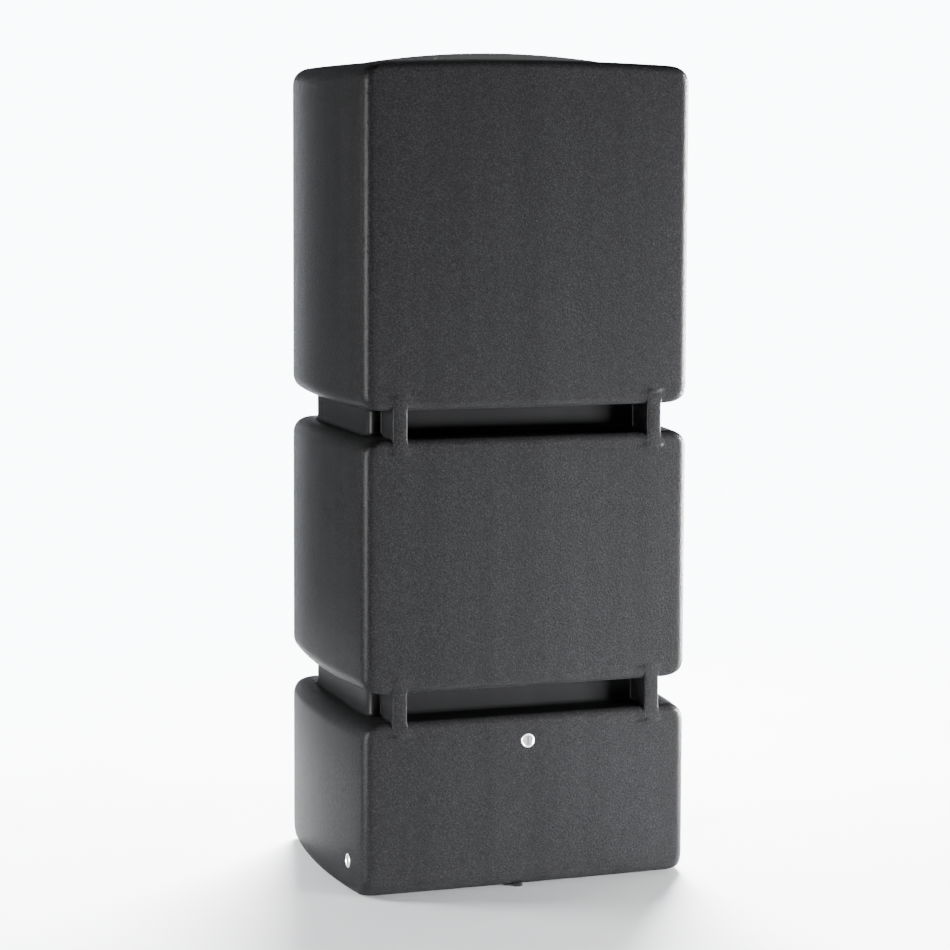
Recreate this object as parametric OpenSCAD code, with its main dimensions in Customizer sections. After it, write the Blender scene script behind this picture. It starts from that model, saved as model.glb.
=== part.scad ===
// Column rain tank: three stacked sections with narrow necks between them,
// struts that bridge the grooves, a screwed-down domed lid and two plugged outlets.
// Front faces -Y, up is +Z, origin at the middle of the underside.

/* [Tank] */
// Overall width, across the bulged sides
tank_w = 800; // [780:2:820]
// Overall depth, across the bulged front and back
tank_d = 600; // [596:1:620]
// Height of the roof at its two side edges
roof_edge_z = 1823; // [1800:1:1840]
// Rise of the roof from its side edges to its middle line
roof_crown = 11; // [10:0.5:13]
// Wall thickness of the moulding
wall = 6; // [5:0.5:7]
// Plan radius of the four upright corners
corner_r = 22; // [18:1:24]
// Outward bulge of the left and right faces
side_bulge = 22; // [14:1:26]
// Outward bulge of the front and back faces
front_bulge = 4; // [2:0.5:6]

/* [Sections and grooves] */
// Top of the bottom section
bottom_top_z = 391; // [370:1:400]
// Underside of the middle section
middle_low_z = 454; // [445:1:470]
// Top of the middle section
middle_top_z = 1013; // [1000:1:1025]
// Underside of the top section
top_low_z = 1075; // [1065:1:1090]
// Width of the necks
neck_w = 687; // [670:1:700]
// Depth of the necks
neck_d = 425; // [410:1:440]
// Edge rounding of the sections, seen from the front
side_round = 38; // [30:1:42]
// Edge rounding of the sections, seen from the side
front_round = 18; // [14:1:19]
// Distance of each strut's middle from the middle of the tank
strut_x = 297; // [285:1:305]
// Width of a strut
strut_w = 34; // [30:1:38]

/* [Lid] */
// Outside radius of the lid
lid_r = 274; // [272:0.5:275]
// Radius of the sphere that the lid's outside follows
dome_r = 1740; // [1650:10:1850]
// Height of the lid's highest point above the roof's middle line
dome_rise = 22.5; // [22:0.25:23]
// Wall thickness of the lid
lid_wall = 3.2; // [2.8:0.1:3.6]
// Number of stiffening ribs below the lid
lid_ribs = 8; // [6:1:12]

/* [Outlets] */
// Height of the front outlet
front_outlet_z = 333; // [310:1:345]
// Height of the side outlet
side_outlet_z = 70; // [62:1:90]
// Distance of the side outlet in front of the tank's middle
side_outlet_y = 204; // [180:1:215]

/* [Hidden] */
$fn = 96;

// Plan of the sections: half width and half depth at the corners
half_w = tank_w / 2 - side_bulge;
half_d = tank_d / 2 - front_bulge;
neck_r = 20;
roof_mid_z = roof_edge_z + roof_crown;
// Rounding at the foot of the tank
foot_side_round = 18;
foot_front_round = 50;
// Small moulded nib at the foot of the front
nib_r = 11;
nib_h = 10;
nib_inset = 21;
nib_x = -14;
// Depth of a strut's face from the tank's middle, just inside the bulged front
strut_set_back = 0.2;
strut_face_y = half_d + front_bulge * (1 - pow(strut_x / half_w, 2)) - strut_set_back;

// Filling mouth, collar and the rainwater trough around them
mouth_r = 242;
collar_r = 266;
collar_z = roof_mid_z - 3;
collar_low_z = collar_z - 16;
trough_r = 280;
trough_z = roof_mid_z - 7;

// Lid
dome_z = roof_mid_z + dome_rise;
lid_edge_z = trough_z + 1.5;
seal_in_r = 243;
seal_out_r = 247.4;
seal_t = 2.5;
seal_top_z = collar_z + seal_t;
skirt_t = 3.5;
spigot_r = 239.5;
spigot_t = 3.5;
spigot_low_z = collar_z - 8;
rib_t = 3;
rib_depth = 10;
hub_r = 14;
screw_ring_r = 257.3;
screw_angles = [45, 135, 225, 315];
washer_seat_z = collar_z + 3.3;
washer_r = 8;
washer_t = 1.2;
pocket_r = 8.5;
pad_low_z = collar_z + 0.5;

// Screws M6 x 18 in knurled bushes
screw_r = 2.95;
screw_hole_r = 3.0;
screw_clear_r = 3.4;
screw_head_r = 5.8;
screw_head_h = 2.6;
screw_len = 18;
bush_r = 4.5;
bush_len = 17;
boss_wall = 5;

// Outlets with a G3/4 thread, drawn as plain cylinders at its inner radius
outlet_ring_r = 15.2;
outlet_ring_t = 2.5;
outlet_barrel_r = 14;
outlet_len = 26;
outlet_bore_r = 12.08;
outlet_boss_r = 24;
plug_r = 12.03;
plug_recess = 1.2;
plug_len = 15;
plug_slot_w = 3;
plug_slot_deep = 3;
plug_slot_len = 18;
plug_groove_from = 3;
plug_groove_w = 1.8;
o_ring_t = 1.3;
o_ring_mid_r = plug_r - o_ring_t / 2;

body_colour = [0.2, 0.205, 0.215];
lid_colour = [0.3, 0.305, 0.315];
steel_colour = [0.75, 0.76, 0.78];
nickel_colour = [0.85, 0.85, 0.83];
brass_colour = [0.78, 0.62, 0.3];
rubber_colour = [0.07, 0.07, 0.075];

// ---------------------------------------------------------------- helpers

// Half of a rounded rectangle's outline, from its right end round the back to its left end.
// steps = [segments in a corner, segments in half a side, segments along the back]
function half_outline(a, b, r, steps) = concat(
  [for (k = [0 : steps[1] - 1]) [a, (b - r) * k / steps[1]]],
  [for (k = [0 : steps[0]]) [a - r + r * cos(90 * k / steps[0]), b - r + r * sin(90 * k / steps[0])]],
  [for (k = [1 : steps[2] - 1]) [(a - r) * (1 - 2 * k / steps[2]), b]],
  [for (k = [0 : steps[0]]) [r - a - r * sin(90 * k / steps[0]), b - r + r * cos(90 * k / steps[0])]],
  [for (k = [steps[1] - 1 : -1 : 0]) [-a, (b - r) * k / steps[1]]]
);

// The whole outline, anticlockwise, with bulged faces
function outline(a, b, r, bulge, steps) =
  let (half = half_outline(a, b, r, steps))
  let (m = len(half) - 1)
  let (all = concat(half, [for (i = [m - 1 : -1 : 1]) [half[i][0], -half[i][1]]]))
  [for (p = all) [
    p[0] * (1 + bulge[0] / a * (1 - pow(p[1] / b, 2))),
    p[1] * (1 + bulge[1] / b * (1 - pow(p[0] / a, 2)))
  ]];

// Inward step of a rounded edge at a distance d from the face that it ends on
function round_in(r, d) = d >= r ? 0 : r - sqrt(r * r - pow(r - d, 2));

// Levels of a rounded edge, as distances from the face that it ends on
function round_levels(r, n) = [for (k = [0 : n]) r * (1 - cos(90 * k / n))];

// One level of the moulding: [height, half width, half depth, corner radius, bulges, share of the crown]
function level(z, side_in, front_in, crown, w) =
  [z, half_w - w - side_in, half_d - w - front_in, corner_r - w / 2, [side_bulge, front_bulge], crown];
function neck_level(z, w) = [z, neck_w / 2 - w, neck_d / 2 - w, neck_r - w / 2, [0, 0], 0];

// Levels of one section between two heights, each with its roundings [side, front]
function section(z0, z1, foot, head, crown, w, n) = concat(
  [for (d = round_levels(max(foot), n)) level(z0 + d, round_in(foot[0], d), round_in(foot[1], d), 0, w)],
  [for (i = [n : -1 : 0]) let (d = round_levels(max(head), n)[i])
    level(z1 - d, round_in(head[0], d), round_in(head[1], d), crown, w)]
);

// All levels of the moulding, from the foot to the roof, moved inwards by w
function moulding_levels(w, n) =
  let (lip = [side_round - w, front_round - w])
  let (foot = [foot_side_round - w, foot_front_round - w])
  concat(
    section(w, bottom_top_z - w, foot, lip, 0, w, n),
    [neck_level(bottom_top_z - w, w), neck_level(middle_low_z + w, w)],
    section(middle_low_z + w, middle_top_z - w, lip, lip, 0, w, n),
    [neck_level(middle_top_z - w, w), neck_level(top_low_z + w, w)],
    section(top_low_z + w, roof_edge_z - w, lip, lip, roof_crown, w, n)
  );

// A closed skin through the levels, with a crowned roof made of strips from front to back
module loft(levels, steps) {
  rings = [for (l = levels)
    [for (p = outline(l[1], l[2], l[3], l[4], steps))
      [p[0], p[1], l[0] + l[5] * (1 - pow(p[0] / (tank_w / 2), 2))]]];
  n = len(rings[0]);
  m = n / 2;
  top = (len(rings) - 1) * n;
  sides = [for (k = [0 : len(rings) - 2]) for (i = [0 : n - 1])
    let (j = (i + 1) % n) each [
      [k * n + i, k * n + n + i, k * n + n + j],
      [k * n + i, k * n + n + j, k * n + j]
    ]];
  strips = [for (i = [1 : m - 2]) [top + i, top + n - i, top + n - i - 1, top + i + 1]];
  ends = [[top, top + n - 1, top + 1], [top + m, top + m - 1, top + m + 1]];
  polyhedron([for (r = rings) each r], concat([[for (i = [0 : n - 1]) i]], sides, strips, ends));
}

// The four struts of one groove between two heights, with their faces moved inwards by w.
// They start inside the neck's wall, so a hollow strut opens into the neck.
module struts(z0, z1, w) {
  back_y = neck_d / 2 - wall - 1;
  reach = strut_face_y - w - back_y;
  for (sx = [-1, 1], sy = [-1, 1])
    translate([sx * strut_x, sy * (back_y + reach / 2), (z0 + z1) / 2])
      cube([strut_w - 2 * w, reach, z1 - z0 + 2 * side_round], center = true);
}

module place_front() {
  translate([0, -tank_d / 2, front_outlet_z])
    rotate([90, 0, 0])
      children();
}

side_face_x = half_w + side_bulge * (1 - pow(side_outlet_y / half_d, 2));

module place_side() {
  translate([-side_face_x, -side_outlet_y, side_outlet_z])
    rotate([0, -90, 0])
      children();
}

module place_screw(i) {
  rotate([0, 0, screw_angles[i - 1]])
    translate([screw_ring_r, 0, 0])
      children();
}

// ---------------------------------------------------------------- tank

outer_steps = [5, 3, 8];
inner_steps = [3, 2, 4];

module all_struts(w) {
  struts(bottom_top_z, middle_low_z, w);
  struts(middle_top_z, top_low_z, w);
}

module outlet_boss() {
  translate([0, 0, -outlet_len - 4])
    cylinder(r = outlet_boss_r, h = outlet_len + 2);
}

// Seat of a threaded outlet: the ring lies flush in the wall, the barrel goes through the boss
module outlet_hole() {
  translate([0, 0, -outlet_ring_t])
    cylinder(r = outlet_ring_r, h = outlet_ring_t + 10);
  translate([0, 0, -outlet_len - 10])
    cylinder(r = outlet_barrel_r, h = outlet_len + 10);
}

// The hollow moulding with its closed roof
module shell() {
  difference() {
    union() {
      loft(moulding_levels(0, 6), outer_steps);
      all_struts(0);
    }
    loft(moulding_levels(wall, 3), inner_steps);
    all_struts(wall);
  }
}

// Solid parts below the lid: the trough's floor, the collar and the bosses of the screws
module roof_ring() {
  translate([0, 0, trough_z - wall])
    cylinder(r = trough_r + wall, h = wall);
  translate([0, 0, collar_low_z])
    cylinder(r = collar_r, h = collar_z - collar_low_z);
  for (i = [1 : 4])
    place_screw(i)
      translate([0, 0, collar_z - bush_len - boss_wall])
        cylinder(r = bush_r + boss_wall, h = bush_len + 1);
}

// What is cut from the roof: all above the collar, the trough round it, the mouth and the bush holes
module roof_cuts() {
  translate([0, 0, collar_z])
    cylinder(r = trough_r, h = wall + roof_crown);
  translate([0, 0, trough_z])
    difference() {
      cylinder(r = trough_r, h = collar_z - trough_z + 1);
      translate([0, 0, -1])
        cylinder(r = collar_r, h = collar_z - trough_z + 3);
    }
  translate([0, 0, collar_low_z - 10])
    cylinder(r = mouth_r, h = 60);
  for (i = [1 : 4])
    place_screw(i)
      translate([0, 0, collar_z - bush_len])
        cylinder(r = bush_r, h = bush_len + 5);
}

module tank_body() {
  color(body_colour)
    difference() {
      union() {
        shell();
        translate([nib_x, nib_inset - half_d, 0])
          cylinder(r = nib_r, h = nib_h);
        place_front() outlet_boss();
        place_side() outlet_boss();
        roof_ring();
      }
      roof_cuts();
      place_front() outlet_hole();
      place_side() outlet_hole();
    }
}

// ---------------------------------------------------------------- lid

// Height of the lid's outside, and of its underside, at a radius
function dome_at(r) = dome_z - dome_r + sqrt(dome_r * dome_r - r * r);
function under_at(r) = dome_at(r) - lid_wall;

dome_steps = 12;
dome_edge_r = lid_r - 3;

// Half section of the lid's skin, from the middle out to the skirt and back
function lid_profile() = concat(
  [for (k = [0 : dome_steps]) let (r = dome_edge_r * k / dome_steps) [r, dome_at(r)]],
  [
    [lid_r - 0.9, dome_at(dome_edge_r) - 0.9],
    [lid_r, dome_at(dome_edge_r) - 3],
    [lid_r, lid_edge_z],
    [lid_r - skirt_t, lid_edge_z],
    [lid_r - skirt_t, pad_low_z + lid_wall],
    [seal_out_r + 2, pad_low_z + lid_wall],
    [seal_out_r + 2, seal_top_z],
    [spigot_r, seal_top_z],
    [spigot_r, spigot_low_z],
    [spigot_r - spigot_t, spigot_low_z],
    [spigot_r - spigot_t, under_at(spigot_r - spigot_t)]
  ],
  [for (k = [dome_steps - 2 : -1 : 0]) let (r = dome_edge_r * k / dome_steps) [r, under_at(r)]]
);

// Side view of one rib, sunk into the underside
module rib_outline() {
  last_r = spigot_r - spigot_t / 2;
  polygon(concat(
    [for (k = [0 : dome_steps]) let (r = last_r * k / dome_steps) [r, under_at(r) + 1]],
    [for (k = [dome_steps : -1 : 0]) let (r = last_r * k / dome_steps) [r, under_at(r) - rib_depth]]
  ));
}

module lid() {
  color(lid_colour)
    difference() {
      union() {
        rotate_extrude()
          polygon(lid_profile());
        for (i = [1 : lid_ribs])
          rotate([90, 0, 360 * i / lid_ribs])
            translate([0, 0, -rib_t / 2])
              linear_extrude(rib_t)
                rib_outline();
        translate([0, 0, under_at(0) - rib_depth - 2])
          cylinder(r = hub_r, h = rib_depth + 3);
        for (i = [1 : 4])
          place_screw(i)
            translate([0, 0, pad_low_z])
              cylinder(r = pocket_r + 1, h = washer_seat_z - pad_low_z + 1);
      }
      for (i = [1 : 4])
        place_screw(i) {
          translate([0, 0, washer_seat_z])
            cylinder(r = pocket_r, h = 20);
          translate([0, 0, pad_low_z - 5])
            cylinder(r = screw_clear_r, h = 20);
        }
    }
}

module lid_seal() {
  color(rubber_colour)
    translate([0, 0, collar_z])
      difference() {
        cylinder(r = seal_out_r, h = seal_t);
        translate([0, 0, -1])
          cylinder(r = seal_in_r, h = seal_t + 2);
      }
}

// ---------------------------------------------------------------- lid screws

head_low_z = washer_seat_z + washer_t;

module hex_socket(across, deep) {
  translate([0, 0, -deep])
    cylinder(r = across / sqrt(3), h = deep + 1, $fn = 6);
}

module lid_screw(i) {
  color(steel_colour)
    place_screw(i)
      difference() {
        union() {
          translate([0, 0, head_low_z - screw_len])
            cylinder(r = screw_r, h = screw_len + 0.5);
          translate([0, 0, head_low_z])
            cylinder(r = screw_head_r, h = screw_head_h);
        }
        translate([0, 0, head_low_z + screw_head_h])
          hex_socket(4, 2);
      }
}

module lid_washer(i) {
  color(steel_colour)
    place_screw(i)
      translate([0, 0, washer_seat_z])
        difference() {
          cylinder(r = washer_r, h = washer_t);
          translate([0, 0, -1])
            cylinder(r = screw_r + 0.1, h = washer_t + 2);
        }
}

module lid_insert(i) {
  color(brass_colour)
    place_screw(i)
      translate([0, 0, collar_z - bush_len])
        difference() {
          cylinder(r = bush_r, h = bush_len);
          translate([0, 0, 1])
            cylinder(r = screw_hole_r, h = bush_len);
        }
}

// ---------------------------------------------------------------- outlets

// Ring and barrel that are moulded into the wall, face at z = 0, barrel towards -z
module outlet_insert() {
  color(nickel_colour)
    difference() {
      union() {
        translate([0, 0, -outlet_ring_t])
          cylinder(r = outlet_ring_r, h = outlet_ring_t);
        translate([0, 0, -outlet_len])
          cylinder(r = outlet_barrel_r, h = outlet_len - 1);
      }
      translate([0, 0, -outlet_len - 1])
        cylinder(r = outlet_bore_r, h = outlet_len + 2);
    }
}

// Threaded blanking plug with a slot across its face and a groove for the seal
module outlet_plug() {
  groove_r = o_ring_mid_r - o_ring_t / 2 - 0.05;
  color(nickel_colour)
    translate([0, 0, -plug_recess])
      difference() {
        translate([0, 0, -plug_len])
          cylinder(r = plug_r, h = plug_len);
        translate([0, 0, -plug_groove_from - plug_groove_w])
          difference() {
            cylinder(r = plug_r + 1, h = plug_groove_w);
            translate([0, 0, -1])
              cylinder(r = groove_r, h = plug_groove_w + 2);
          }
        translate([-plug_slot_w / 2, -plug_slot_len / 2, -plug_slot_deep])
          cube([plug_slot_w, plug_slot_len, plug_slot_deep + 1]);
      }
}

module outlet_seal() {
  color(rubber_colour)
    translate([0, 0, -plug_recess - plug_groove_from - plug_groove_w / 2])
      rotate_extrude()
        translate([o_ring_mid_r, 0])
          circle(r = o_ring_t / 2 - 0.02, $fn = 24);
}

// ---------------------------------------------------------------- parts

tank_body();
lid();
lid_seal();
lid_screw(1);  // lid_screw_1
lid_screw(2);  // lid_screw_2
lid_screw(3);  // lid_screw_3
lid_screw(4);  // lid_screw_4
lid_washer(1);  // lid_washer_1
lid_washer(2);  // lid_washer_2
lid_washer(3);  // lid_washer_3
lid_washer(4);  // lid_washer_4
lid_insert(1);  // lid_insert_1
lid_insert(2);  // lid_insert_2
lid_insert(3);  // lid_insert_3
lid_insert(4);  // lid_insert_4
place_front() outlet_insert();  // front_insert
place_front() outlet_plug();  // front_plug
place_front() outlet_seal();  // front_plug_seal
place_side() outlet_insert();  // side_insert
place_side() outlet_plug();  // side_plug
place_side() outlet_seal();  // side_plug_seal
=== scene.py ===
"""Looks for the column rain tank: the moulding, lid, screws and threaded outlets, in metres."""
import math

import bmesh
import bpy
from mathutils import Matrix, Vector


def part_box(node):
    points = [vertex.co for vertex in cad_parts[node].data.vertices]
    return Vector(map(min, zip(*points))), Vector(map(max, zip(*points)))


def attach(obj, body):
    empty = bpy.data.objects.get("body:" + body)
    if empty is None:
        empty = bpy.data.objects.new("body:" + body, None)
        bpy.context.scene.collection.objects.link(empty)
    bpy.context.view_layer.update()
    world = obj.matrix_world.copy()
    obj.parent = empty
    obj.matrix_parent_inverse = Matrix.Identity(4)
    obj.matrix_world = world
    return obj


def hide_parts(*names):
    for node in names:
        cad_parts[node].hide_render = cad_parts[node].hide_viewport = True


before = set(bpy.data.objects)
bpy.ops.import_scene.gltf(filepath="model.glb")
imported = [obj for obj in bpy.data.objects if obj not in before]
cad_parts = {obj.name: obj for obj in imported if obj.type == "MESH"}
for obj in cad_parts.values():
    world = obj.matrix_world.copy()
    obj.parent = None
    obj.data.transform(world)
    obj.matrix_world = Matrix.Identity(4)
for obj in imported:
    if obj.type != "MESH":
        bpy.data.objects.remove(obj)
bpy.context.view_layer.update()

# ------------------------------------------------------------------ sizes
MM = 0.001
body_low, body_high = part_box("tank_body")
lid_low, lid_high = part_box("lid")
ring_low, ring_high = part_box("front_insert")
side_low, side_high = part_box("side_insert")

TANK_W = body_high.x - body_low.x
TANK_D = body_high.y - body_low.y
ROOF_MID_Z = body_high.z
ROOF_CROWN = 11 * MM
ROOF_EDGE_Z = ROOF_MID_Z - ROOF_CROWN
WALL = 6 * MM
SIDE_BULGE = 22 * MM
FRONT_BULGE = 4 * MM
CORNER_R = 22 * MM
HALF_W = TANK_W / 2 - SIDE_BULGE
HALF_D = TANK_D / 2 - FRONT_BULGE

# Heights of the sections' ends, and the necks between them
BOTTOM_TOP_Z = 391 * MM
MIDDLE_LOW_Z = 454 * MM
MIDDLE_TOP_Z = 1013 * MM
TOP_LOW_Z = 1075 * MM
NECK_HALF_W = 344 * MM
NECK_HALF_D = 213 * MM
NECK_R = 20 * MM
NECK_FILLET = 9 * MM

# Roundings as seen from the front (side faces) and from the side (front faces)
LIP_ROUND = (38 * MM, 18 * MM)
FOOT_ROUND = (18 * MM, 50 * MM)

STRUT_X = 297 * MM
STRUT_HALF_W = 17 * MM
STRUT_EDGE_R = 5 * MM
STRUT_ROOT_R = 3.5 * MM

TROUGH_R = 280 * MM
TROUGH_Z = ROOF_MID_Z - 7 * MM
COLLAR_R = 266 * MM
COLLAR_Z = ROOF_MID_Z - 3 * MM
COLLAR_LOW_Z = COLLAR_Z - 16 * MM
MOUTH_R = 242 * MM

# Screws of the lid, in brass bushes
SCREW_RING_R = 257.3 * MM
SCREW_PLACES = [
    Matrix.Rotation(math.radians(a), 4, "Z") @ Matrix.Translation((SCREW_RING_R, 0, 0))
    for a in (45, 135, 225, 315)
]
BUSH_R = 4.5 * MM
BUSH_LEN = 17 * MM

# Threaded outlets: local +z points out of the wall, and z = 0 is flush with its face
OUTLET_LEN = 26 * MM
RING_R = 15.2 * MM
RING_T = 2.5 * MM
BARREL_R = 14 * MM
BORE_R = 12.08 * MM
SEAT_GAP = 1.1 * MM
FRONT_PLACE = Matrix.Translation((0, ring_low.y, (ring_low.z + ring_high.z) / 2))
FRONT_PLACE = FRONT_PLACE @ Matrix.Rotation(math.pi / 2, 4, "X")
SIDE_PLACE = Matrix.Translation((side_low.x, (side_low.y + side_high.y) / 2, (side_low.z + side_high.z) / 2))
SIDE_PLACE = SIDE_PLACE @ Matrix.Rotation(-math.pi / 2, 4, "Y")

# The small foot under the front edge
NIB_X = -14 * MM
NIB_R = 11 * MM
NIB_INSET = 21 * MM

# ------------------------------------------------------------------ camera
CAMERA_PLACE = (-2.037, -5.822, 1.641)
CAMERA_YAW = math.radians(19.07)
CAMERA_PITCH = math.radians(4.87)
CAMERA_ROLL = math.radians(0.22)
CAMERA_LENS = 102.05
CAMERA_SHIFT_Y = -0.102


def add_camera():
    """A long lens, a little above the tank's middle and to its left."""
    data = bpy.data.cameras.new("camera")
    data.lens = CAMERA_LENS
    data.sensor_width = 36
    data.shift_y = CAMERA_SHIFT_Y
    data.clip_end = 60
    camera = bpy.data.objects.new("camera", data)
    bpy.context.scene.collection.objects.link(camera)
    turn = Matrix.Rotation(-CAMERA_YAW, 4, "Z")
    tilt = Matrix.Rotation(math.pi / 2 - CAMERA_PITCH, 4, "X")
    roll = Matrix.Rotation(CAMERA_ROLL, 4, "Z")
    camera.matrix_world = Matrix.Translation(CAMERA_PLACE) @ turn @ tilt @ roll
    bpy.context.scene.camera = camera


# ------------------------------------------------------------------ mesh helpers
def new_object(name, mesh):
    piece = bpy.data.objects.new(name, mesh)
    bpy.context.scene.collection.objects.link(piece)
    return piece


def mesh_from(name, points, faces):
    mesh = bpy.data.meshes.new(name)
    mesh.from_pydata([tuple(p) for p in points], [], faces)
    bm = bmesh.new()
    bm.from_mesh(mesh)
    bmesh.ops.remove_doubles(bm, verts=bm.verts, dist=2e-6)
    bmesh.ops.dissolve_degenerate(bm, dist=2e-6, edges=bm.edges)
    bmesh.ops.recalc_face_normals(bm, faces=bm.faces)
    bm.to_mesh(mesh)
    bm.free()
    return mesh


def stack(rings, first_cap=True, last_cap=True):
    """Faces of a closed skin through rings that all have as many points."""
    n = len(rings[0])
    faces = []
    for k in range(len(rings) - 1):
        for i in range(n):
            j = (i + 1) % n
            faces.append((k * n + i, k * n + j, (k + 1) * n + j, (k + 1) * n + i))
    if first_cap:
        faces.append(tuple(reversed(range(n))))
    if last_cap:
        top = (len(rings) - 1) * n
        faces.append(tuple(range(top, top + n)))
    return faces


def arc(radius, steps):
    """Pairs (inset, drop) along a quarter round, from the flat end face to the upright face."""
    angles = [math.pi / 2 * k / steps for k in range(steps + 1)]
    return [(radius * (1 - math.sin(a)), radius * (1 - math.cos(a))) for a in angles]


def round_in(radius, d):
    """Inset of a rounded edge at a distance d from the face that it ends on."""
    if d >= radius:
        return 0.0
    return radius - math.sqrt(max(0.0, radius * radius - (radius - d) ** 2))


def set_smooth(piece, angle=35):
    """Smooth shading, with edges sharper than the angle kept crisp."""
    mesh = piece.data
    mesh.shade_smooth()
    bm = bmesh.new()
    bm.from_mesh(mesh)
    for edge in bm.edges:
        edge.smooth = len(edge.link_faces) != 2 or edge.calc_face_angle(0) < math.radians(angle)
    bm.to_mesh(mesh)
    bm.free()


def boolean(piece, tool, operation):
    """Joins or cuts with another mesh, applied at once."""
    step = piece.modifiers.new("step", "BOOLEAN")
    step.operation = operation
    step.object = tool
    step.solver = "EXACT"
    graph = bpy.context.evaluated_depsgraph_get()
    mesh = bpy.data.meshes.new_from_object(piece.evaluated_get(graph))
    piece.modifiers.clear()
    old = piece.data
    piece.data = mesh
    bpy.data.meshes.remove(old)
    bpy.data.objects.remove(tool)


def around(r, z, steps, place):
    """Points of a circle about the place's z axis."""
    turns = [2 * math.pi * k / steps for k in range(steps)]
    return [place @ Vector((r * math.cos(a), r * math.sin(a), z)) for a in turns]


def turned(name, profile, steps, place=Matrix.Identity(4)):
    """A turned solid: profile is a closed list of (radius, height) that starts and ends on the axis."""
    rings = [around(r, z, steps, place) for r, z in profile]
    points = [p for ring in rings for p in ring]
    return new_object(name, mesh_from(name, points, stack(rings)))


def ring_solid(name, profile, steps, place=Matrix.Identity(4)):
    """A turned ring: profile is a closed loop of (radius, height) that stays off the axis."""
    n = len(profile)
    points = []
    for k in range(steps):
        a = 2 * math.pi * k / steps
        points += [place @ Vector((r * math.cos(a), r * math.sin(a), z)) for r, z in profile]
    faces = []
    for k in range(steps):
        m = (k + 1) % steps
        for i in range(n):
            j = (i + 1) % n
            faces.append((k * n + i, k * n + j, m * n + j, m * n + i))
    return new_object(name, mesh_from(name, points, faces))


# ------------------------------------------------------------------ the moulding's outline
CORNER_STEPS = 8
SIDE_STEPS = 10
MID_STEPS = 20
END_STEPS = 3
ROUND_STEPS = 4


def crown_z(x):
    """Height of the roof above its side edges."""
    return ROOF_CROWN * (1 - (x / (TANK_W / 2)) ** 2)


def strut_half(depth):
    """Half of a strut's plan, from its outer root to its middle: (offset along x, height above the face)."""
    edge = min(STRUT_EDGE_R, depth / 2)
    root = min(STRUT_ROOT_R, depth / 2)
    w = STRUT_HALF_W
    out = []
    for k in range(ROUND_STEPS + 1):
        a = math.pi / 2 * k / ROUND_STEPS
        out.append((w + root - root * math.sin(a), root - root * math.cos(a)))
    for k in range(ROUND_STEPS + 1):
        a = math.pi / 2 * k / ROUND_STEPS
        out.append((w - edge + edge * math.cos(a), depth - edge + edge * math.sin(a)))
    out.append((0.0, depth))
    return out


def strut_across(depth):
    half = strut_half(depth)
    return half + [(-u, v) for u, v in reversed(half[:-1])]


def face_line(a, b, r, bulges, struts):
    """The back face's outline from +x to -x, with its two struts standing out to the full depth."""
    def level(x):
        return b + bulges[1] * (1 - (x / a) ** 2)

    def full(x):
        return HALF_D + FRONT_BULGE * (1 - (x / HALF_W) ** 2)

    depth = max(0.0, full(STRUT_X) - level(STRUT_X)) if struts else 0.0
    across = strut_across(depth)
    reach = across[0][0]
    line = []
    for k in range(1, END_STEPS):
        x = (a - r) + (STRUT_X + reach - (a - r)) * k / END_STEPS
        line.append((x, level(x)))
    line += [(STRUT_X + u, level(STRUT_X + u) + v) for u, v in across]
    inner = STRUT_X - reach
    for k in range(1, MID_STEPS):
        x = inner - 2 * inner * k / MID_STEPS
        line.append((x, level(x)))
    line += [(-STRUT_X + u, level(STRUT_X - u) + v) for u, v in across]
    for k in range(1, END_STEPS):
        x = -(STRUT_X + reach) - ((a - r) - STRUT_X - reach) * k / END_STEPS
        line.append((x, level(x)))
    return line


def outline(a, b, r, bulges, struts):
    """Closed plan outline, anticlockwise from the middle of the right face."""
    def bulge(x, y):
        return x * (1 + bulges[0] / a * (1 - (y / b) ** 2)), y * (1 + bulges[1] / b * (1 - (x / a) ** 2))

    half = [bulge(a, (b - r) * k / SIDE_STEPS) for k in range(SIDE_STEPS)]
    for k in range(CORNER_STEPS + 1):
        t = math.pi / 2 * k / CORNER_STEPS
        half.append(bulge(a - r + r * math.cos(t), b - r + r * math.sin(t)))
    half += face_line(a, b, r, bulges, struts)
    for k in range(CORNER_STEPS + 1):
        t = math.pi / 2 * k / CORNER_STEPS
        half.append(bulge(r - a - r * math.sin(t), b - r + r * math.cos(t)))
    half += [bulge(-a, (b - r) * k / SIDE_STEPS) for k in range(SIDE_STEPS - 1, -1, -1)]
    return half + [(x, -y) for x, y in reversed(half[1:-1])]


def section_ring(z, side_in, front_in, w=0.0, struts=True, crown=0.0):
    plan = outline(HALF_W - w - side_in, HALF_D - w - front_in, CORNER_R - w / 2,
                   (SIDE_BULGE, FRONT_BULGE), struts)
    return [(x, y, z + crown * crown_z(x)) for x, y in plan]


def neck_ring(z, grow, w=0.0, struts=True):
    plan = outline(NECK_HALF_W - w + grow, NECK_HALF_D - w + grow, NECK_R + grow, (0.0, 0.0), struts)
    return [(x, y, z) for x, y in plan]


def levels(rounds, steps):
    """Distances from an end face at which an edge with two roundings needs a ring."""
    found = {0.0}
    for r in rounds:
        found |= {round(d, 6) for _, d in arc(r, steps)}
    return sorted(found)


def section_rings(z0, z1, foot, head, steps, w=0.0, struts=(False, False), crown=0.0):
    """Rings of one section; struts says whether its lower and upper ends face a groove."""
    rings = []
    for d in levels(foot, steps):
        rings.append(section_ring(z0 + d, round_in(foot[0], d), round_in(foot[1], d), w, struts[0]))
    for d in reversed(levels(head, steps)):
        rings.append(section_ring(z1 - d, round_in(head[0], d), round_in(head[1], d), w, struts[1], crown))
    return rings


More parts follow.
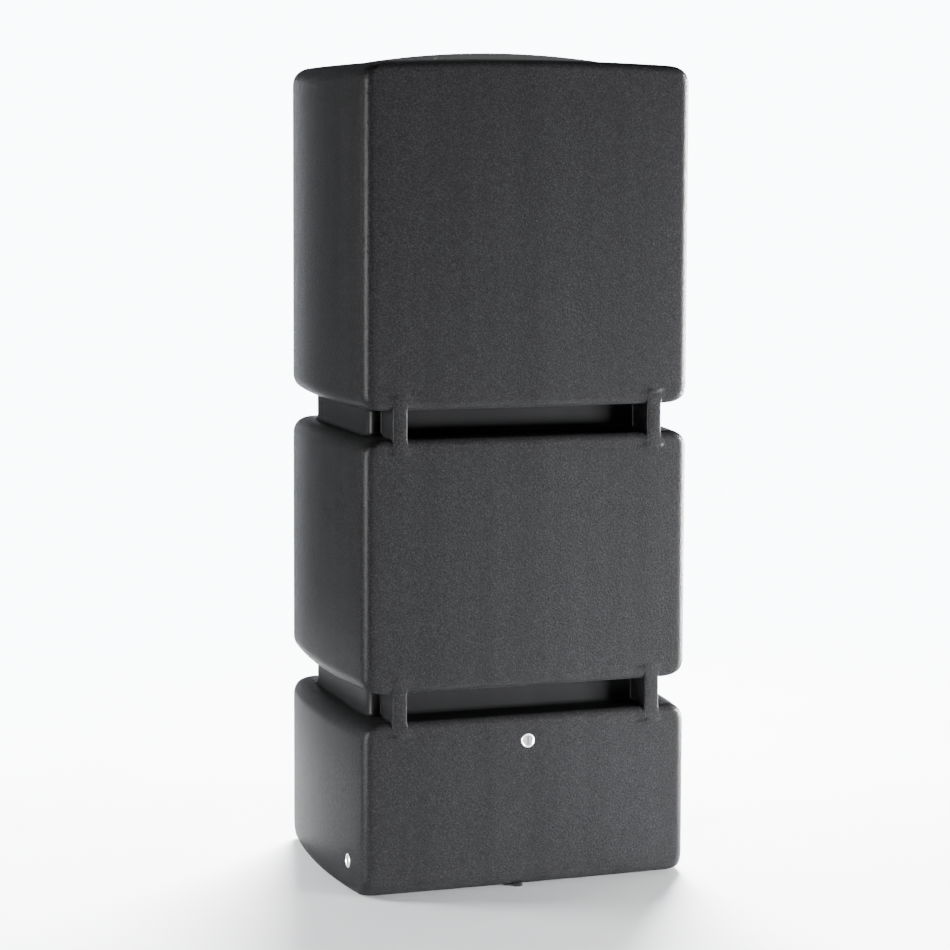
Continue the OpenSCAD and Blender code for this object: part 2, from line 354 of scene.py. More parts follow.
def neck_rings(z0, z1, w=0.0, struts=True):
    """A neck with hollow fillets where it meets the flat ends of the sections."""
    rings = []
    for k in range(5):
        t = math.pi / 2 * k / 4
        grow = NECK_FILLET * (1 - math.sin(t))
        rings.append(neck_ring(z0 + NECK_FILLET * (1 - math.cos(t)), grow, w, struts))
    for k in range(4, -1, -1):
        t = math.pi / 2 * k / 4
        grow = NECK_FILLET * (1 - math.sin(t))
        rings.append(neck_ring(z1 - NECK_FILLET * (1 - math.cos(t)), grow, w, struts))
    return rings


def circle_like(ring, radius, height):
    """A circle whose points lie in the same directions as those of a ring."""
    out = []
    for x, y, _ in ring:
        s = radius / math.hypot(x, y)
        out.append((x * s, y * s, height(x * s)))
    return out


def between(a, b, t):
    return [tuple(p + (q - p) * t for p, q in zip(u, v)) for u, v in zip(a, b)]


def roof_rings(edge):
    """Rings from the roof's rounded edge in to the trough, over the collar and down the mouth."""
    rim = circle_like(edge, TROUGH_R + 1.2 * MM, lambda x: ROOF_EDGE_Z + crown_z(x))
    rings = []
    for k in range(1, 7):
        ring = between(edge, rim, k / 6)
        rings.append([(x, y, ROOF_EDGE_Z + crown_z(x)) for x, y, _ in ring])
    steps = [
        (TROUGH_R + 0.3 * MM, lambda x: ROOF_EDGE_Z + crown_z(x) - 0.3 * MM),
        (TROUGH_R, lambda x: ROOF_EDGE_Z + crown_z(x) - 0.9 * MM),
        (TROUGH_R, lambda x: TROUGH_Z + 0.5 * MM),
        (TROUGH_R - 0.5 * MM, lambda x: TROUGH_Z),
        (COLLAR_R + 0.6 * MM, lambda x: TROUGH_Z),
        (COLLAR_R, lambda x: TROUGH_Z + 0.6 * MM),
        (COLLAR_R, lambda x: COLLAR_Z - 1 * MM),
        (COLLAR_R - 0.3 * MM, lambda x: COLLAR_Z - 0.3 * MM),
        (COLLAR_R - 1 * MM, lambda x: COLLAR_Z),
        (MOUTH_R + 1 * MM, lambda x: COLLAR_Z),
        (MOUTH_R + 0.3 * MM, lambda x: COLLAR_Z - 0.3 * MM),
        (MOUTH_R, lambda x: COLLAR_Z - 1 * MM),
        (MOUTH_R, lambda x: COLLAR_LOW_Z),
        (COLLAR_R, lambda x: COLLAR_LOW_Z),
        (COLLAR_R, lambda x: TROUGH_Z - WALL),
    ]
    return rings + [circle_like(edge, r, h) for r, h in steps]


def inner_rings():
    """The inside of the tank, from under the roof down to the floor."""
    lip = (LIP_ROUND[0] - WALL, LIP_ROUND[1] - WALL)
    foot = (FOOT_ROUND[0] - WALL, FOOT_ROUND[1] - WALL)
    up = section_rings(WALL, BOTTOM_TOP_Z - WALL, foot, lip, 3, WALL)
    up += [neck_ring(BOTTOM_TOP_Z - WALL, 0, WALL, False), neck_ring(MIDDLE_LOW_Z + WALL, 0, WALL, False)]
    up += section_rings(MIDDLE_LOW_Z + WALL, MIDDLE_TOP_Z - WALL, lip, lip, 3, WALL)
    up += [neck_ring(MIDDLE_TOP_Z - WALL, 0, WALL, False), neck_ring(TOP_LOW_Z + WALL, 0, WALL, False)]
    up += section_rings(TOP_LOW_Z + WALL, ROOF_EDGE_Z - WALL, lip, lip, 3, WALL, crown=1.0)
    return list(reversed(up))


def build_tank():
    outer = section_rings(0.0, BOTTOM_TOP_Z, FOOT_ROUND, LIP_ROUND, 8, struts=(False, True))
    outer += neck_rings(BOTTOM_TOP_Z, MIDDLE_LOW_Z)
    outer += section_rings(MIDDLE_LOW_Z, MIDDLE_TOP_Z, LIP_ROUND, LIP_ROUND, 8, struts=(True, True))
    outer += neck_rings(MIDDLE_TOP_Z, TOP_LOW_Z)
    outer += section_rings(TOP_LOW_Z, ROOF_EDGE_Z, LIP_ROUND, LIP_ROUND, 8, struts=(True, False), crown=1.0)
    rings = outer + roof_rings(outer[-1]) + inner_rings()
    points = [p for ring in rings for p in ring]
    tank = new_object("tank_moulding", mesh_from("tank_moulding", points, stack(rings)))
    for place in (FRONT_PLACE, SIDE_PLACE):
        boolean(tank, turned("boss", [(0, -30 * MM), (24 * MM, -30 * MM), (24 * MM, -4 * MM), (0, -4 * MM)],
                             64, place), "UNION")
        boolean(tank, turned("seat", [
            (0, -40 * MM), (BARREL_R, -40 * MM), (BARREL_R, -RING_T), (RING_R + SEAT_GAP, -RING_T),
            (RING_R + SEAT_GAP, 5 * MM), (0, 5 * MM)], 96, place), "DIFFERENCE")
    nib = Matrix.Translation((NIB_X, NIB_INSET - HALF_D, 0))
    boolean(tank, turned("nib", [
        (0, 0), (NIB_R - 1 * MM, 0), (NIB_R, 1 * MM), (NIB_R, 9 * MM), (0, 10 * MM)], 32, nib), "UNION")
    for place in SCREW_PLACES:
        low = COLLAR_Z - 22 * MM
        boolean(tank, turned("bush_boss", [
            (0, low), (8.5 * MM, low), (9.5 * MM, low + 1 * MM), (9.5 * MM, COLLAR_LOW_Z + 2 * MM),
            (0, COLLAR_LOW_Z + 2 * MM)], 40, place), "UNION")
        boolean(tank, turned("bush_hole", [
            (0, COLLAR_Z - BUSH_LEN), (BUSH_R, COLLAR_Z - BUSH_LEN), (BUSH_R, COLLAR_Z + 5 * MM),
            (0, COLLAR_Z + 5 * MM)], 40, place), "DIFFERENCE")
    set_smooth(tank, 40)
    return tank


# ------------------------------------------------------------------ lid, seal and screws
LID_R = 274 * MM
DOME_R = 1740 * MM
DOME_Z = lid_high.z
LID_WALL = 3.2 * MM
LID_EDGE_Z = TROUGH_Z + 1.5 * MM
SKIRT_T = 3.5 * MM
PAD_LOW_Z = COLLAR_Z + 0.5 * MM
SEAL_R = (243 * MM, 247.4 * MM)
SEAL_TOP_Z = COLLAR_Z + 2.5 * MM
SPIGOT_R = 239.5 * MM
SPIGOT_T = 3.5 * MM
SPIGOT_LOW_Z = COLLAR_Z - 8 * MM
RIM_ROUND = 2.4 * MM
RIB_COUNT = 8
RIB_T = 3 * MM
RIB_DEPTH = 10 * MM
RIB_TAPER = 0.4 * MM
HUB_R = 14 * MM
WASHER_SEAT_Z = COLLAR_Z + 3.3 * MM
POCKET_R = 8.5 * MM
SCREW_HOLE_R = 3.4 * MM


def dome_at(r):
    return DOME_Z - DOME_R + math.sqrt(DOME_R ** 2 - r * r)


def lid_profile():
    """The lid's skin: the dome, its rounded rim, the skirt, the seal's seat, the spigot and the underside."""
    edge = LID_R - RIM_ROUND
    outside = [(edge * k / 48, dome_at(edge * k / 48)) for k in range(49)]
    rim_z = dome_at(edge) - RIM_ROUND
    rim = [(edge + RIM_ROUND * math.sin(a), rim_z + RIM_ROUND * math.cos(a))
           for a in (math.pi / 2 * k / 6 for k in range(1, 7))]
    seat = SEAL_R[1] + 2 * MM
    pad_z = PAD_LOW_Z + LID_WALL
    turns = [
        (LID_R, LID_EDGE_Z + 0.6 * MM), (LID_R - 0.6 * MM, LID_EDGE_Z),
        (LID_R - SKIRT_T + 0.6 * MM, LID_EDGE_Z), (LID_R - SKIRT_T, LID_EDGE_Z + 0.6 * MM),
        (LID_R - SKIRT_T, pad_z), (seat, pad_z), (seat, SEAL_TOP_Z),
        (SPIGOT_R, SEAL_TOP_Z), (SPIGOT_R, SPIGOT_LOW_Z + 1 * MM), (SPIGOT_R - 1 * MM, SPIGOT_LOW_Z),
        (SPIGOT_R - SPIGOT_T + 1 * MM, SPIGOT_LOW_Z), (SPIGOT_R - SPIGOT_T, SPIGOT_LOW_Z + 1 * MM),
    ]
    inner = SPIGOT_R - SPIGOT_T
    under = [(inner * k / 24, dome_at(inner * k / 24) - LID_WALL) for k in range(24, -1, -1)]
    return outside + rim + turns + under


def add_ribs(bm):
    """Stiffening ribs and their hub, sunk a little into the underside."""
    last = SPIGOT_R - SPIGOT_T / 2
    steps = 16
    for i in range(RIB_COUNT):
        turn = Matrix.Rotation(2 * math.pi * (i + 1) / RIB_COUNT, 4, "Z")
        rows = []
        for k in range(steps + 1):
            r = last * k / steps
            top = dome_at(r) - LID_WALL + 1 * MM
            low = dome_at(r) - LID_WALL - RIB_DEPTH
            wide, narrow = RIB_T / 2, RIB_T / 2 - RIB_TAPER
            across = ((-wide, top), (-narrow, low), (narrow, low), (wide, top))
            rows.append([bm.verts.new(turn @ Vector((r, y, z))) for y, z in across])
        for a, b in zip(rows, rows[1:]):
            for j in range(4):
                bm.faces.new((a[j], b[j], b[(j + 1) % 4], a[(j + 1) % 4]))
        bm.faces.new(rows[0])
        bm.faces.new(list(reversed(rows[-1])))
    low = dome_at(0) - LID_WALL - RIB_DEPTH - 2 * MM
    hub = bmesh.ops.create_cone(bm, cap_ends=True, segments=48, radius1=HUB_R, radius2=HUB_R,
                                depth=RIB_DEPTH + 3 * MM)
    bmesh.ops.translate(bm, verts=hub["verts"], vec=(0, 0, low + (RIB_DEPTH + 3 * MM) / 2))


def build_lid():
    lid = turned("lid_cover", lid_profile(), 256)
    for place in SCREW_PLACES:
        boolean(lid, turned("pad", [
            (0, PAD_LOW_Z), (POCKET_R + 0.5 * MM, PAD_LOW_Z), (POCKET_R + 1 * MM, PAD_LOW_Z + 0.5 * MM),
            (POCKET_R + 1 * MM, WASHER_SEAT_Z + 1 * MM), (0, WASHER_SEAT_Z + 1 * MM)], 48, place), "UNION")
        boolean(lid, turned("pocket", [
            (0, WASHER_SEAT_Z), (POCKET_R, WASHER_SEAT_Z), (POCKET_R, WASHER_SEAT_Z + 1.6 * MM),
            (POCKET_R + 4 * MM, WASHER_SEAT_Z + 5.6 * MM), (0, WASHER_SEAT_Z + 5.6 * MM),
        ], 48, place), "DIFFERENCE")
        boolean(lid, turned("hole", [
            (0, PAD_LOW_Z - 5 * MM), (SCREW_HOLE_R, PAD_LOW_Z - 5 * MM), (SCREW_HOLE_R, PAD_LOW_Z + 15 * MM),
            (0, PAD_LOW_Z + 15 * MM),
        ], 32, place), "DIFFERENCE")
    bm = bmesh.new()
    bm.from_mesh(lid.data)
    add_ribs(bm)
    bmesh.ops.recalc_face_normals(bm, faces=bm.faces)
    bm.to_mesh(lid.data)
    bm.free()
    set_smooth(lid, 30)
    return lid


def build_lid_seal():
    """A flat ring of EPDM with rounded edges."""
    mid = (SEAL_R[0] + SEAL_R[1]) / 2
    half = (SEAL_R[1] - SEAL_R[0]) / 2
    low, high = COLLAR_Z, SEAL_TOP_Z
    soft = 0.7 * MM
    loop = []
    for cx, cz, start in ((1, 1, 0), (-1, 1, 90), (-1, -1, 180), (1, -1, 270)):
        for k in range(5):
            a = math.radians(start + 90 * k / 4)
            loop.append((mid + cx * (half - soft) + soft * math.cos(a),
                         (low + high) / 2 + cz * ((high - low) / 2 - soft) + soft * math.sin(a)))
    seal = ring_solid("lid_gasket", loop, 192)
    set_smooth(seal, 60)
    return seal


def thread_radius(angle, z, crest, depth, pitch):
    """Radius of a right-hand thread's flank at an angle and a height."""
    t = (z / pitch - angle / (2 * math.pi)) % 1.0
    rise = min(1.0, max(0.0, (abs(t - 0.5) * 2 - 0.12) / 0.72))
    return crest - depth * (1 - rise)


def threaded(name, low, high, crest, depth, pitch, head, steps, place):
    """A threaded shank from low to high, then a turned head as (radius, height) pairs."""
    count = int(round((high - low) / pitch * 8))
    rings = []
    for k in range(count + 1):
        z = low + (high - low) * k / count
        taper = min(1.0, 0.72 + 0.28 * (z - low) / pitch)
        fade = min(1.0, (high - z) / pitch)
        ring = []
        for i in range(steps):
            a = 2 * math.pi * i / steps
            r = thread_radius(a, z, crest, depth * fade, pitch) * taper
            ring.append(place @ Vector((r * math.cos(a), r * math.sin(a), z)))
        rings.append(ring)
    rings += [around(r, z, steps, place) for r, z in head]
    points = [p for ring in rings for p in ring]
    return new_object(name, mesh_from(name, points, stack(rings)))


HEAD_LOW_Z = WASHER_SEAT_Z + 1.2 * MM
HEAD_R = 5.8 * MM
HEAD_H = 2.6 * MM
SCREW_LEN = 18 * MM
SCREW_PITCH = 1 * MM
SCREW_R = 2.95 * MM
SCREW_THREAD = 0.5 * MM
SOCKET_W = 4 * MM
WASHER_R = (3.05 * MM, 8 * MM)
BUSH_BORE_R = 3 * MM


def build_screw(i, place):
    """A button-head screw with a hexagon socket."""
    head = [(HEAD_R - 0.3 * MM, HEAD_LOW_Z), (HEAD_R, HEAD_LOW_Z + 0.3 * MM)]
    for k in range(1, 8):
        a = math.pi / 2 * k / 8
        height = 0.5 * MM + (HEAD_H - 0.5 * MM) * math.sin(a)
        head.append((HEAD_R * (0.45 + 0.55 * math.cos(a)), HEAD_LOW_Z + height))
    head += [(HEAD_R * 0.45, HEAD_LOW_Z + HEAD_H), (0, HEAD_LOW_Z + HEAD_H)]
    screw = threaded(f"screw_{i}", HEAD_LOW_Z - SCREW_LEN, HEAD_LOW_Z, SCREW_R, SCREW_THREAD, SCREW_PITCH,
                     head, 36, place)
    corner = SOCKET_W / math.sqrt(3)
    top = HEAD_LOW_Z + HEAD_H
    socket = turned("socket", [
        (0, top - 2 * MM), (corner, top - 2 * MM), (corner, top + 1 * MM), (0, top + 1 * MM),
    ], 6, place)
    boolean(screw, socket, "DIFFERENCE")
    set_smooth(screw, 35)
    return screw


def build_washer(i, place):
    z0, z1, e = WASHER_SEAT_Z, HEAD_LOW_Z, 0.2 * MM
    r0, r1 = WASHER_R
    loop = [(r0 + e, z0), (r1 - e, z0), (r1, z0 + e), (r1, z1 - e),
            (r1 - e, z1), (r0 + e, z1), (r0, z1 - e), (r0, z0 + e)]
    washer = ring_solid(f"washer_{i}", loop, 64, place)
    set_smooth(washer, 50)
    return washer


def build_bush(i, place):
    """A brass bush with a closed lower end and a threaded bore."""
    top, low, e = COLLAR_Z, COLLAR_Z - BUSH_LEN, 0.4 * MM
    profile = [(0, low), (BUSH_R - e, low), (BUSH_R, low + e),
               (BUSH_R, top - e), (BUSH_R - e, top), (BUSH_BORE_R + e, top)]
    for k in range(28):
        z = top - e - 0.5 * MM * k
        profile += [(BUSH_BORE_R, z), (BUSH_BORE_R + 0.25 * MM, z - 0.25 * MM)]
    profile += [(BUSH_BORE_R, low + 1 * MM), (0, low + 1 * MM)]
    bush = turned(f"bush_{i}", profile, 32, place)
    set_smooth(bush, 25)
    return bush


# ------------------------------------------------------------------ threaded outlets
PLUG_LEN = 15 * MM
PLUG_RECESS = 1.2 * MM
PLUG_R = 12.03 * MM
PLUG_PITCH = 1.814 * MM
PLUG_THREAD = 0.9 * MM
SLOT_SIZE = (3 * MM, 18 * MM, 6 * MM)
GROOVE_FROM = 3 * MM
GROOVE_W = 1.8 * MM
O_RING_T = 1.3 * MM


def build_insert(name, place):
    """The metal ring and barrel moulded into the wall, with anchoring grooves behind the ring."""
    e = 0.5 * MM
    loop = [(BORE_R + 0.7 * MM, 0), (RING_R - e, 0)]
    for a in (math.pi / 2 * k / 4 for k in range(1, 5)):
        loop.append((RING_R - e + e * math.sin(a), -e + e * math.cos(a)))
    loop += [(RING_R, -RING_T), (BARREL_R, -RING_T)]
    z = -6 * MM
    while z > -OUTLET_LEN + 6 * MM:
        loop += [(BARREL_R, z), (BARREL_R - 1 * MM, z - 0.5 * MM),
                 (BARREL_R - 1 * MM, z - 2 * MM), (BARREL_R, z - 2.5 * MM)]
        z -= 6 * MM
    loop += [(BARREL_R, -OUTLET_LEN + e), (BARREL_R - e, -OUTLET_LEN),
             (BORE_R + e, -OUTLET_LEN), (BORE_R, -OUTLET_LEN + e)]
    z = -OUTLET_LEN + 1 * MM
    while z < -3 * MM:
        loop += [(BORE_R, z), (BORE_R + 0.6 * MM, z + PLUG_PITCH / 2)]
        z += PLUG_PITCH
    loop += [(BORE_R, -1.6 * MM), (BORE_R, -0.7 * MM)]
    piece = ring_solid(name, loop, 96, place)
    set_smooth(piece, 35)
    return piece


def build_plug(name, place):
    """A blanking plug: threaded, with a groove for its O-ring and a slot across its face."""
    top = -PLUG_RECESS
    groove_r = PLUG_R - O_RING_T - 0.05 * MM
    thread_top = top - GROOVE_FROM - GROOVE_W - 0.6 * MM
    head = [
        (groove_r, thread_top), (groove_r, top - GROOVE_FROM), (PLUG_R, top - GROOVE_FROM),
        (PLUG_R, top - 0.4 * MM), (PLUG_R - 0.4 * MM, top), (0, top),
    ]
    plug = threaded(name, top - PLUG_LEN, thread_top, PLUG_R, PLUG_THREAD, PLUG_PITCH, head, 64, place)
    bm = bmesh.new()
    bmesh.ops.create_cube(bm, size=1.0)
    shape = Matrix.Diagonal((*SLOT_SIZE, 1))
    bmesh.ops.transform(bm, matrix=place @ Matrix.Translation((0, 0, top)) @ shape, verts=bm.verts)
    mesh = bpy.data.meshes.new("slot")
    bm.to_mesh(mesh)
    bm.free()
    boolean(plug, new_object("slot", mesh), "DIFFERENCE")
    set_smooth(plug, 35)
    return plug


def build_o_ring(name, place):
    mid = PLUG_R - O_RING_T / 2
    z = -PLUG_RECESS - GROOVE_FROM - GROOVE_W / 2
    r = O_RING_T / 2 - 0.02 * MM
    loop = [(mid + r * math.cos(a), z + r * math.sin(a)) for a in (2 * math.pi * k / 12 for k in range(12))]
    piece = ring_solid(name, loop, 64, place)
    piece.data.shade_smooth()
    return piece


# ------------------------------------------------------------------ materials
class Nodes:
    """A short way to build a node tree."""

    def __init__(self, name):
        self.material = bpy.data.materials.new(name)
        self.material.use_nodes = True
        self.tree = self.material.node_tree
        self.shader = self.tree.nodes["Principled BSDF"]
        self.where = self.add("ShaderNodeTexCoord").outputs["Object"]
        tilt = self.add("ShaderNodeMapping")
        tilt.inputs["Rotation"].default_value = (0.6, 0.4, 0.3)
        self.put(self.where, tilt.inputs["Vector"])
        self.tilted = tilt.outputs["Vector"]

    def add(self, kind, **settings):
        node = self.tree.nodes.new(kind)
        for key, value in settings.items():
            setattr(node, key, value)
        return node

    def put(self, source, socket):
        self.tree.links.new(source, socket)

    def scaled(self, factors):
        node = self.add("ShaderNodeMapping")
        self.put(self.where, node.inputs["Vector"])
        node.inputs["Scale"].default_value = factors
        return node.outputs["Vector"]

    def noise(self, scale, detail=2.0, rough=0.5, vector=None):
        node = self.add("ShaderNodeTexNoise")
        self.put(vector or self.tilted, node.inputs["Vector"])
        node.inputs["Scale"].default_value = scale
        node.inputs["Detail"].default_value = detail
        node.inputs["Roughness"].default_value = rough
        return node.outputs["Fac"]

    def cells(self, scale, feature="SMOOTH_F1"):
        node = self.add("ShaderNodeTexVoronoi", feature=feature)
        self.put(self.tilted, node.inputs["Vector"])
        node.inputs["Scale"].default_value = scale
        return node.outputs["Distance"]

    def span(self, value, low, high, to_low=0.0, to_high=1.0):
        node = self.add("ShaderNodeMapRange")
        self.put(value, node.inputs["Value"])
        for key, number in (("From Min", low), ("From Max", high), ("To Min", to_low), ("To Max", to_high)):
            node.inputs[key].default_value = number
        return node.outputs["Result"]

    def maths(self, operation, a, b):
        node = self.add("ShaderNodeMath", operation=operation)
        for socket, value in zip(node.inputs, (a, b)):
            if isinstance(value, (int, float)):
                socket.default_value = value
            else:
                self.put(value, socket)
        return node.outputs["Value"]

    def colour(self, value, stops):
        node = self.add("ShaderNodeValToRGB")
        self.put(value, node.inputs["Fac"])
        ramp = node.color_ramp.elements
        for k, (at, rgb) in enumerate(stops):
            stop = ramp[k] if k < 2 else ramp.new(at)
            stop.position = at
            stop.color = (*rgb, 1.0)
        return node.outputs["Color"]

    def bump(self, height, strength, distance):
        node = self.add("ShaderNodeBump")
        self.put(height, node.inputs["Height"])
        node.inputs["Strength"].default_value = strength
        node.inputs["Distance"].default_value = distance
        return node.outputs["Normal"]

    def finish(self, colour, rough, normal, metallic=0.0, specular=0.5):
        self.put(colour, self.shader.inputs["Base Color"])
        self.put(rough, self.shader.inputs["Roughness"])
        self.put(normal, self.shader.inputs["Normal"])
        self.shader.inputs["Metallic"].default_value = metallic
        self.shader.inputs["Specular IOR Level"].default_value = specular
        return self.material


def tank_plastic():
    """Rotomoulded polyethylene: a pebbled grain with paler flecks outside, smooth in the necks."""
    n = Nodes("tank_plastic")
    split = n.add("ShaderNodeSeparateXYZ")
    n.put(n.where, split.inputs["Vector"])
    beside = n.span(n.maths("ABSOLUTE", split.outputs["X"], 0), NECK_HALF_W + 4 * MM, NECK_HALF_W + 12 * MM)
    before = n.span(n.maths("ABSOLUTE", split.outputs["Y"], 0), NECK_HALF_D + 4 * MM, NECK_HALF_D + 12 * MM)
    outside = n.maths("MAXIMUM", beside, before)
    grain = n.noise(300.0, 3.0, 0.65)
    pebbles = n.cells(210.0)
    streaks = n.noise(1.0, 2.0, 0.5, n.scaled((18.0, 18.0, 0.8)))
    height = n.maths("ADD", n.maths("MULTIPLY", grain, 0.9), n.maths("MULTIPLY", pebbles, 0.7))
    height = n.maths("MULTIPLY", height, outside)
    rough_grain = n.maths("ADD", n.maths("MULTIPLY", n.maths("SUBTRACT", grain, 0.5), outside), 0.5)
    fleck = n.maths("ADD", n.maths("MULTIPLY", rough_grain, 0.9), n.maths("MULTIPLY", streaks, 0.1))
    colour = n.colour(fleck, [(0.36, (0.006, 0.0061, 0.0063)), (0.52, (0.0097, 0.0099, 0.0103)),
                              (0.7, (0.019, 0.0193, 0.02))])
    rough = n.span(grain, 0.3, 0.7, 0.3, 0.45)
    return n.finish(colour, rough, n.bump(height, 0.5, 0.0012), specular=0.004)


def lid_plastic():
    """Injection-moulded polypropylene with a fine satin grain."""
    n = Nodes("lid_plastic")
    grain = n.noise(900.0, 3.0)
    drift = n.noise(6.0, 2.0)
    colour = n.colour(drift, [(0.3, (0.036, 0.0365, 0.0372)), (0.7, (0.042, 0.0425, 0.0433))])
    rough = n.span(drift, 0.3, 0.7, 0.4, 0.5)
    return n.finish(colour, rough, n.bump(grain, 0.2, 0.0003), specular=0.03)


def seal_rubber():
    n = Nodes("seal_rubber")
    grain = n.noise(2500.0, 2.0)
    colour = n.colour(n.noise(60.0), [(0.3, (0.017, 0.017, 0.018)), (0.7, (0.026, 0.026, 0.027))])
    return n.finish(colour, n.span(grain, 0.3, 0.7, 0.5, 0.65), n.bump(grain, 0.15, 0.0001))


def metal(name, dark, light, rough, stretch, strength):
    """Machined metal: fine marks stretched along the tool's path. The two greys are kept darker than the
    real metals, to suit the strong lights of this studio."""
    n = Nodes(name)
    marks = n.noise(1.0, 3.0, 0.6, n.scaled(stretch))
    colour = n.colour(marks, [(0.25, dark), (0.75, light)])
    return n.finish(colour, n.span(marks, 0.25, 0.75, *rough), n.bump(marks, strength, 0.00008), metallic=1.0)


METALS = {
    # slot: darker and lighter colour, roughness range, marks per metre along x, y and z, depth of the marks
    "black_steel": ((0.03, 0.03, 0.031), (0.06, 0.06, 0.062), (0.3, 0.42), (400, 400, 5000), 0.2),
    "brass": ((0.62, 0.44, 0.19), (0.78, 0.59, 0.29), (0.25, 0.36), (400, 400, 5000), 0.2),
    "nickel_plate": ((0.4, 0.4, 0.395), (0.5, 0.5, 0.495), (0.28, 0.38), (1500, 1500, 1500), 0.1),
    "plug_metal": ((0.07, 0.07, 0.071), (0.12, 0.12, 0.122), (0.3, 0.45), (2600, 2600, 90), 0.3),
}


def build_materials():
    materials = {"tank_plastic": tank_plastic(), "lid_plastic": lid_plastic(), "seal_rubber": seal_rubber()}
    for slot, looks in METALS.items():
        materials[slot] = metal(slot, *looks)
    return materials


# ------------------------------------------------------------------ studio
FLOOR_MIDDLE = (0.7, 0.1, 0.0)
FLOOR_SOLID_R = 1.5
FLOOR_FADE_R = 3.1
BACKGROUND_LIGHT = 12.0
BACKGROUND_EDGES = (math.cos(math.radians(26)), math.cos(math.radians(14)))
HORIZON_EDGES = (0.065, 0.1)
FILL_LIGHT = 0.16


def add_floor():
    """A pale, slightly glossy floor that fades into the white surroundings."""
    bm = bmesh.new()
    bmesh.ops.create_circle(bm, cap_ends=True, segments=96, radius=FLOOR_FADE_R)
    mesh = bpy.data.meshes.new("floor")
    bm.to_mesh(mesh)
    bm.free()
    floor = new_object("floor", mesh)
    floor.location = FLOOR_MIDDLE
    n = Nodes("floor_paint")
    soft = n.noise(1.5, 2.0)
    colour = n.colour(soft, [(0.3, (0.86, 0.87, 0.89)), (0.7, (0.88, 0.89, 0.91))])
    middle = n.add("ShaderNodeVectorMath", operation="LENGTH")
    n.put(n.where, middle.inputs[0])
    fade = n.span(middle.outputs["Value"], FLOOR_SOLID_R, FLOOR_FADE_R * 0.98, 1.0, 0.0)
    n.put(fade, n.shader.inputs["Alpha"])
    rough = n.span(soft, 0.3, 0.7, 0.24, 0.28)
    floor.data.materials.append(n.finish(colour, rough, n.bump(soft, 0.02, 0.001), specular=0.9))
    return floor


def add_softbox(name, place, target, size, power):
    data = bpy.data.lights.new(name, "AREA")
    data.shape = "RECTANGLE"
    data.size, data.size_y = size
    data.energy = power
    light = bpy.data.objects.new(name, data)
    bpy.context.scene.collection.objects.link(light)
    light.location = place
    light.rotation_euler = (Vector(target) - Vector(place)).to_track_quat("-Z", "Y").to_euler()
    return light


def add_surroundings():
    """White behind the tank up to just above eye level, and a soft grey all round."""
    world = bpy.data.worlds.new("studio")
    world.use_nodes = True
    tree = world.node_tree

    def step(value, start, end, low, high):
        node = tree.nodes.new("ShaderNodeMapRange")
        node.interpolation_type = "SMOOTHSTEP"
        for key, number in (("From Min", start), ("From Max", end), ("To Min", low), ("To Max", high)):
            node.inputs[key].default_value = number
        tree.links.new(value, node.inputs["Value"])
        return node.outputs["Result"]

    where = tree.nodes.new("ShaderNodeTexCoord").outputs["Generated"]
    split = tree.nodes.new("ShaderNodeSeparateXYZ")
    tree.links.new(where, split.inputs["Vector"])
    behind = tree.nodes.new("ShaderNodeVectorMath")
    behind.operation = "DOT_PRODUCT"
    tree.links.new(where, behind.inputs[0])
    behind.inputs[1].default_value = (math.sin(CAMERA_YAW), math.cos(CAMERA_YAW), 0)
    across = step(behind.outputs["Value"], BACKGROUND_EDGES[0], BACKGROUND_EDGES[1], 0.0, 1.0)
    below = step(split.outputs["Z"], HORIZON_EDGES[0], HORIZON_EDGES[1], 1.0, 0.0)
    both = tree.nodes.new("ShaderNodeMath")
    both.operation = "MULTIPLY"
    tree.links.new(across, both.inputs[0])
    tree.links.new(below, both.inputs[1])
    level = step(both.outputs["Value"], 0.0, 1.0, FILL_LIGHT, BACKGROUND_LIGHT)
    tree.links.new(level, tree.nodes["Background"].inputs["Strength"])
    tree.nodes["Background"].inputs["Color"].default_value = (0.9, 0.94, 1.0, 1.0)
    bpy.context.scene.world = world


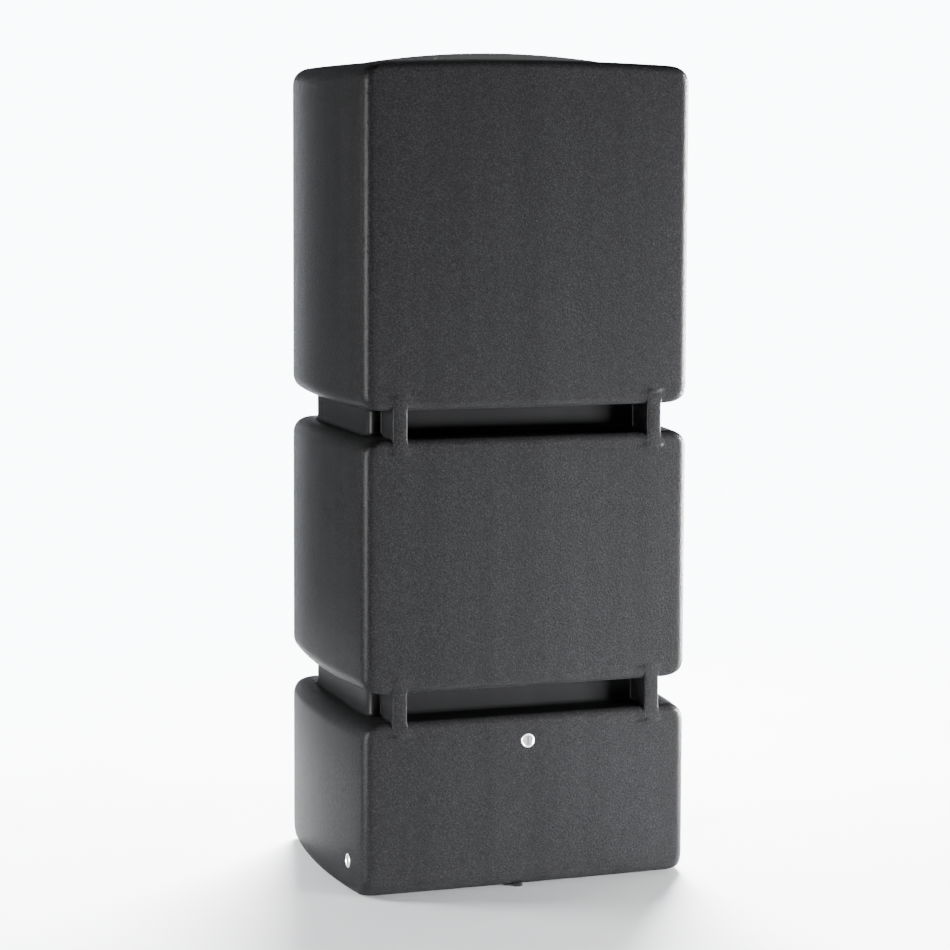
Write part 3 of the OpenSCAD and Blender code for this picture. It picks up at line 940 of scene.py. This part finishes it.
def add_lights(floor):
    add_surroundings()
    overhead = add_softbox("overhead", (1.2, 2.6, 4.4), (0, -0.6, 0), (2.0, 1.6), 4100)
    lit = bpy.data.collections.new("lit_from_above")
    lit.objects.link(floor)
    overhead.light_linking.receiver_collection = lit
    add_softbox("low_right", (2.3, -2.4, 0.3), (0.3, -0.3, 0.35), (1.2, 0.6), 700)
    add_softbox("left_face", (-3.4, 1.4, 1.5), (-0.4, 0, 1.1), (1.5, 1.5), 420)
    add_softbox("above_lid", (0.2, 0.9, 3.7), (0, 0, 1.8), (1.6, 1.2), 60)
    for name, place, size, power in (
        ("left_edge", (-4.4, -1.9, 1.0), (0.5, 3.0), 15000),
        ("right_edge", (4.5, 1.2, 1.0), (0.5, 3.0), 20000),
        ("right_front_edge", (4.6, -0.8, 1.0), (0.5, 3.0), 20000),
    ):
        strip = add_softbox(name, place, (0, -0.3, 1.0), size, power)
        strip.visible_diffuse = False


# ------------------------------------------------------------------ assembly
def fit_piece(piece, body, slot, materials, *nodes):
    """Paints a piece, puts it on its body and lets it stand for its CAD nodes."""
    piece.data.materials.clear()
    piece.data.materials.append(materials[slot])
    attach(piece, body)
    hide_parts(*nodes)


def main():
    materials = build_materials()
    fit_piece(build_tank(), "tank", "tank_plastic", materials, "tank_body")
    fit_piece(build_lid(), "lid", "lid_plastic", materials, "lid")
    fit_piece(build_lid_seal(), "lid", "seal_rubber", materials, "lid_seal")
    for i, place in enumerate(SCREW_PLACES, 1):
        fit_piece(build_screw(i, place), f"screw_{i}", "black_steel", materials, f"lid_screw_{i}")
        fit_piece(build_washer(i, place), f"washer_{i}", "black_steel", materials, f"lid_washer_{i}")
        fit_piece(build_bush(i, place), "tank", "brass", materials, f"lid_insert_{i}")
    for side, place in (("front", FRONT_PLACE), ("side", SIDE_PLACE)):
        ring = build_insert(f"{side}_outlet_ring", place)
        fit_piece(ring, "tank", "nickel_plate", materials, f"{side}_insert")
        plug = build_plug(f"{side}_outlet_plug", place)
        fit_piece(plug, f"{side}_plug", "plug_metal", materials, f"{side}_plug")
        fit_piece(build_o_ring(f"{side}_outlet_seal", place), f"{side}_seal", "seal_rubber", materials,
                  f"{side}_plug_seal")
    add_lights(add_floor())
    add_camera()


main()
